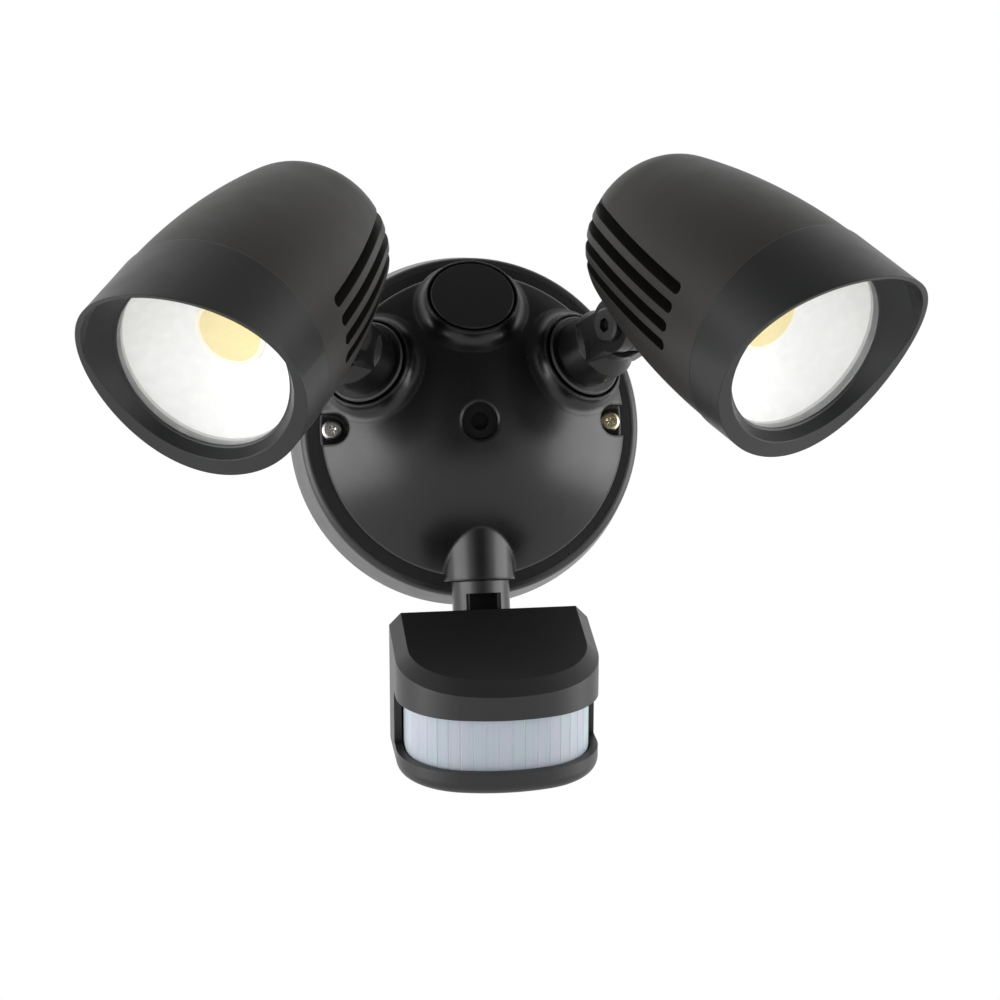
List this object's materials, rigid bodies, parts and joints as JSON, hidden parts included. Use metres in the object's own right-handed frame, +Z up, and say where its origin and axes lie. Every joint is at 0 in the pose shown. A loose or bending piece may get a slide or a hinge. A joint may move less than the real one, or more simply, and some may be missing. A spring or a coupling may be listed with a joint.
{
  "type": "motion sensor security light",
  "caption": "Wall-mounted outdoor security light with a round canopy, aimable bullet lamp heads on swivel knuckles, and a swivelling motion sensor below.",
  "frame": {"origin": "centre of the canopy's back face, in the plane of the wall and midway between its two wall screws", "axes": "+X to the right of a person facing the light, +Y into the wall, +Z up"},
  "size_m": [0.2634, 0.1767, 0.207],
  "materials": {
    "canopy_paint": "matte dark grey powder coat on die-cast aluminium",
    "lamp_paint": "matte dark grey powder coat on die-cast aluminium",
    "stem_paint": "satin dark grey paint on die-cast aluminium",
    "bright_steel": "zinc plated",
    "black_steel": "blackened",
    "seal_rubber": "black rubber",
    "plug_plastic": "satin",
    "clear_glass": "clear",
    "clear_silicone": "translucent silicone",
    "bright_bowl": "polished",
    "led_yellow": "phosphor",
    "white_board": "white solder mask on an aluminium core",
    "sensor_plastic": "matte dark grey",
    "pir_lens_plastic": "milky polyethylene",
    "knob_plastic": "black",
    "green_board": "green solder mask",
    "sensor_can": "plain",
    "photocell_resin": "clear resin over a red track",
    "relay_plastic": "blue",
    "driver_plastic": "black",
    "terminal_plastic": "cream",
    "brass_screw": "plain",
    "earth_green": "green passivated"
  },
  "bodies": {
    "canopy": {"base_housing": "canopy_paint", "wall_gasket": "seal_rubber", "cover_gasket": "seal_rubber", "front_cover": "canopy_paint", "cover_screws": "bright_steel", "centre_plug": "seal_rubber", "blank_plug": "plug_plastic", "plug_seal": "seal_rubber", "cable_grommet": "seal_rubber", "led_driver": "driver_plastic", "terminal_block": "terminal_plastic", "terminal_screws": "brass_screw", "earth_screw": "earth_green", "stem_seal_left": "seal_rubber", "stem_seal_right": "seal_rubber"},
    "left_stem": {"swivel_stem_left": "stem_paint", "lock_nut_left": "black_steel", "pivot_bolt_left": "black_steel", "pivot_nut_left": "black_steel", "friction_washers_left": "bright_steel"},
    "left_lamp": {"lamp_housing_left": "lamp_paint", "cooling_fins_left": "lamp_paint", "bezel_left": "lamp_paint", "lens_glass_left": "clear_glass", "glass_gasket_left": "clear_silicone", "reflector_left": "bright_bowl", "led_phosphor_left": "led_yellow", "led_substrate_left": "white_board", "led_board_left": "white_board", "led_screws_left": "bright_steel"},
    "right_stem": {"swivel_stem_right": "stem_paint", "lock_nut_right": "black_steel", "pivot_bolt_right": "black_steel", "pivot_nut_right": "black_steel", "friction_washers_right": "bright_steel"},
    "right_lamp": {"lamp_housing_right": "lamp_paint", "cooling_fins_right": "lamp_paint", "bezel_right": "lamp_paint", "lens_glass_right": "clear_glass", "glass_gasket_right": "clear_silicone", "reflector_right": "bright_bowl", "led_phosphor_right": "led_yellow", "led_substrate_right": "white_board", "led_board_right": "white_board", "led_screws_right": "bright_steel"},
    "sensor_swivel": {"sensor_fork": "sensor_plastic", "fork_screw": "black_steel", "fork_nut": "black_steel", "pan_clip": "bright_steel"},
    "sensor": {"sensor_housing": "sensor_plastic", "sensor_base": "sensor_plastic", "sensor_lens": "pir_lens_plastic", "sensor_board": "green_board", "pir_element": "sensor_can", "photocell": "photocell_resin", "sensor_relay": "relay_plastic", "sensor_screws": "bright_steel"},
    "time_knob_body": {"time_knob": "knob_plastic"},
    "light_level_knob_body": {"light_level_knob": "knob_plastic"},
    "range_knob_body": {"range_knob": "knob_plastic"}
  },
  "joints": [
    {"name": "left_swivel", "type": "hinge", "parent": "canopy", "child": "left_stem", "pos_m": [-0.03784, -0.0427, 0.02185], "axis": [-0.4698, -0.8401, 0.2712], "range_deg": [-75, 45]},
    {"name": "left_tilt", "type": "hinge", "parent": "left_stem", "child": "left_lamp", "pos_m": [-0.0517, -0.06748, 0.02985], "axis": [0.8569, -0.5078, -0.0889], "range_deg": [-30, 60]},
    {"name": "right_swivel", "type": "hinge", "parent": "canopy", "child": "right_stem", "pos_m": [0.03784, -0.0427, 0.02185], "axis": [0.4698, -0.8401, 0.2712], "range_deg": [-45, 75]},
    {"name": "right_tilt", "type": "hinge", "parent": "right_stem", "child": "right_lamp", "pos_m": [0.0517, -0.06748, 0.02985], "axis": [0.8647, 0.4998, 0.0504], "range_deg": [-30, 60]},
    {"name": "sensor_pan", "type": "hinge", "parent": "canopy", "child": "sensor_swivel", "pos_m": [0, -0.033, -0.054], "axis": [0, 0, 1], "range_deg": [-45, 45]},
    {"name": "sensor_tilt", "type": "hinge", "parent": "sensor_swivel", "child": "sensor", "pos_m": [0, -0.033, -0.074], "axis": [1, 0, 0], "range_deg": [-30, 35]},
    {"name": "time_setting", "type": "hinge", "parent": "sensor", "child": "time_knob_body", "pos_m": [-0.015, -0.06008, -0.11687], "axis": [0, 0.309, -0.9511], "range_deg": [-135, 135]},
    {"name": "light_level_setting", "type": "hinge", "parent": "sensor", "child": "light_level_knob_body", "pos_m": [0, -0.06008, -0.11687], "axis": [0, 0.309, -0.9511], "range_deg": [-135, 135]},
    {"name": "range_setting", "type": "hinge", "parent": "sensor", "child": "range_knob_body", "pos_m": [0.015, -0.06008, -0.11687], "axis": [0, 0.309, -0.9511], "range_deg": [-135, 135]}
  ]
}
